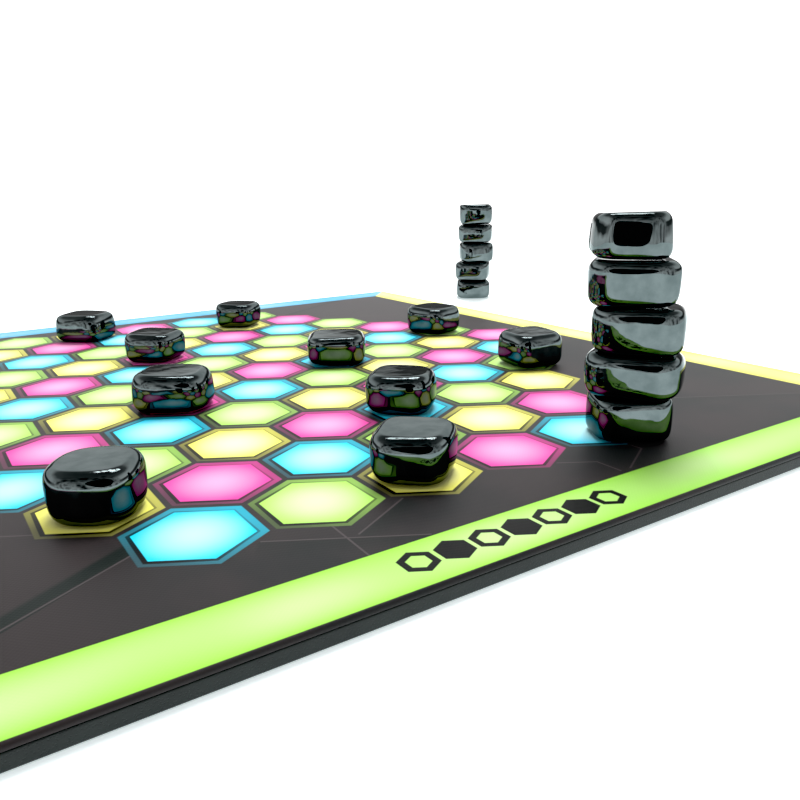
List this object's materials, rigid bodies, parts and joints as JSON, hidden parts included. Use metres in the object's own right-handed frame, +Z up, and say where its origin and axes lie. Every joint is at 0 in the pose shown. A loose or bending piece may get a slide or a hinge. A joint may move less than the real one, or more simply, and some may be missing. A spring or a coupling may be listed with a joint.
{
  "type": "magnet board game set",
  "caption": "Square printed play mat with a field of hexagonal cells, with polished pillow-shaped magnets lying singly on cells and standing in stacks.",
  "frame": {"origin": "middle of the mat's underside, on the table", "axes": "+Z up from the table; +X along the mat's near edge, to the right for a player at that edge; +Y from the near edge to the far edge"},
  "size_m": [0.3617, 0.3048, 0.0602],
  "materials": {
    "rubber": "matte black foamed rubber",
    "printed_cloth": "black knitted cloth, dye-printed with bright cells",
    "magnet": "sintered ferrite, tumbled and polished to a black mirror"
  },
  "bodies": {
    "mat": {"mat_rubber_base": "rubber", "mat_printed_cloth": "printed_cloth"},
    "loose_magnet_1": {"loose_magnet_1": "magnet"},
    "loose_magnet_2": {"loose_magnet_2": "magnet"},
    "loose_magnet_3": {"loose_magnet_3": "magnet"},
    "loose_magnet_4": {"loose_magnet_4": "magnet"},
    "loose_magnet_5": {"loose_magnet_5": "magnet"},
    "loose_magnet_6": {"loose_magnet_6": "magnet"},
    "loose_magnet_7": {"loose_magnet_7": "magnet"},
    "loose_magnet_8": {"loose_magnet_8": "magnet"},
    "loose_magnet_9": {"loose_magnet_9": "magnet"},
    "loose_magnet_10": {"loose_magnet_10": "magnet"},
    "front_stack_magnet_1": {"front_stack_magnet_1": "magnet"},
    "front_stack_magnet_2": {"front_stack_magnet_2": "magnet"},
    "front_stack_magnet_3": {"front_stack_magnet_3": "magnet"},
    "front_stack_magnet_4": {"front_stack_magnet_4": "magnet"},
    "front_stack_magnet_5": {"front_stack_magnet_5": "magnet"},
    "rear_stack_magnet_1": {"rear_stack_magnet_1": "magnet"},
    "rear_stack_magnet_2": {"rear_stack_magnet_2": "magnet"},
    "rear_stack_magnet_3": {"rear_stack_magnet_3": "magnet"},
    "rear_stack_magnet_4": {"rear_stack_magnet_4": "magnet"},
    "rear_stack_magnet_5": {"rear_stack_magnet_5": "magnet"}
  },
  "joints": [
    {"name": "loose_magnet_1_lift", "type": "slide", "parent": "mat", "child": "loose_magnet_1", "axis": [0, 0, 1], "range_m": [0, 0.08]},
    {"name": "loose_magnet_2_lift", "type": "slide", "parent": "mat", "child": "loose_magnet_2", "axis": [0, 0, 1], "range_m": [0, 0.08]},
    {"name": "loose_magnet_3_lift", "type": "slide", "parent": "mat", "child": "loose_magnet_3", "axis": [0, 0, 1], "range_m": [0, 0.08]},
    {"name": "loose_magnet_4_lift", "type": "slide", "parent": "mat", "child": "loose_magnet_4", "axis": [0, 0, 1], "range_m": [0, 0.08]},
    {"name": "loose_magnet_5_lift", "type": "slide", "parent": "mat", "child": "loose_magnet_5", "axis": [0, 0, 1], "range_m": [0, 0.08]},
    {"name": "loose_magnet_6_lift", "type": "slide", "parent": "mat", "child": "loose_magnet_6", "axis": [0, 0, 1], "range_m": [0, 0.08]},
    {"name": "loose_magnet_7_lift", "type": "slide", "parent": "mat", "child": "loose_magnet_7", "axis": [0, 0, 1], "range_m": [0, 0.08]},
    {"name": "loose_magnet_8_lift", "type": "slide", "parent": "mat", "child": "loose_magnet_8", "axis": [0, 0, 1], "range_m": [0, 0.08]},
    {"name": "loose_magnet_9_lift", "type": "slide", "parent": "mat", "child": "loose_magnet_9", "axis": [0, 0, 1], "range_m": [0, 0.08]},
    {"name": "loose_magnet_10_lift", "type": "slide", "parent": "mat", "child": "loose_magnet_10", "axis": [0, 0, 1], "range_m": [0, 0.08]},
    {"name": "front_stack_magnet_1_lift", "type": "slide", "parent": "mat", "child": "front_stack_magnet_1", "axis": [0, 0, 1], "range_m": [0, 0.03]},
    {"name": "front_stack_magnet_2_lift", "type": "slide", "parent": "front_stack_magnet_1", "child": "front_stack_magnet_2", "axis": [0, 0, 1], "range_m": [0, 0.03]},
    {"name": "front_stack_magnet_3_lift", "type": "slide", "parent": "front_stack_magnet_2", "child": "front_stack_magnet_3", "axis": [0, 0, 1], "range_m": [0, 0.03]},
    {"name": "front_stack_magnet_4_lift", "type": "slide", "parent": "front_stack_magnet_3", "child": "front_stack_magnet_4", "axis": [0, 0, 1], "range_m": [0, 0.03]},
    {"name": "front_stack_magnet_5_lift", "type": "slide", "parent": "front_stack_magnet_4", "child": "front_stack_magnet_5", "axis": [0, 0, 1], "range_m": [0, 0.03]},
    {"name": "rear_stack_magnet_1_lift", "type": "slide", "parent": "mat", "child": "rear_stack_magnet_1", "axis": [0, 0, 1], "range_m": [0, 0.03]},
    {"name": "rear_stack_magnet_2_lift", "type": "slide", "parent": "rear_stack_magnet_1", "child": "rear_stack_magnet_2", "axis": [0, 0, 1], "range_m": [0, 0.03]},
    {"name": "rear_stack_magnet_3_lift", "type": "slide", "parent": "rear_stack_magnet_2", "child": "rear_stack_magnet_3", "axis": [0, 0, 1], "range_m": [0, 0.03]},
    {"name": "rear_stack_magnet_4_lift", "type": "slide", "parent": "rear_stack_magnet_3", "child": "rear_stack_magnet_4", "axis": [0, 0, 1], "range_m": [0, 0.03]},
    {"name": "rear_stack_magnet_5_lift", "type": "slide", "parent": "rear_stack_magnet_4", "child": "rear_stack_magnet_5", "axis": [0, 0, 1], "range_m": [0, 0.03]}
  ]
}
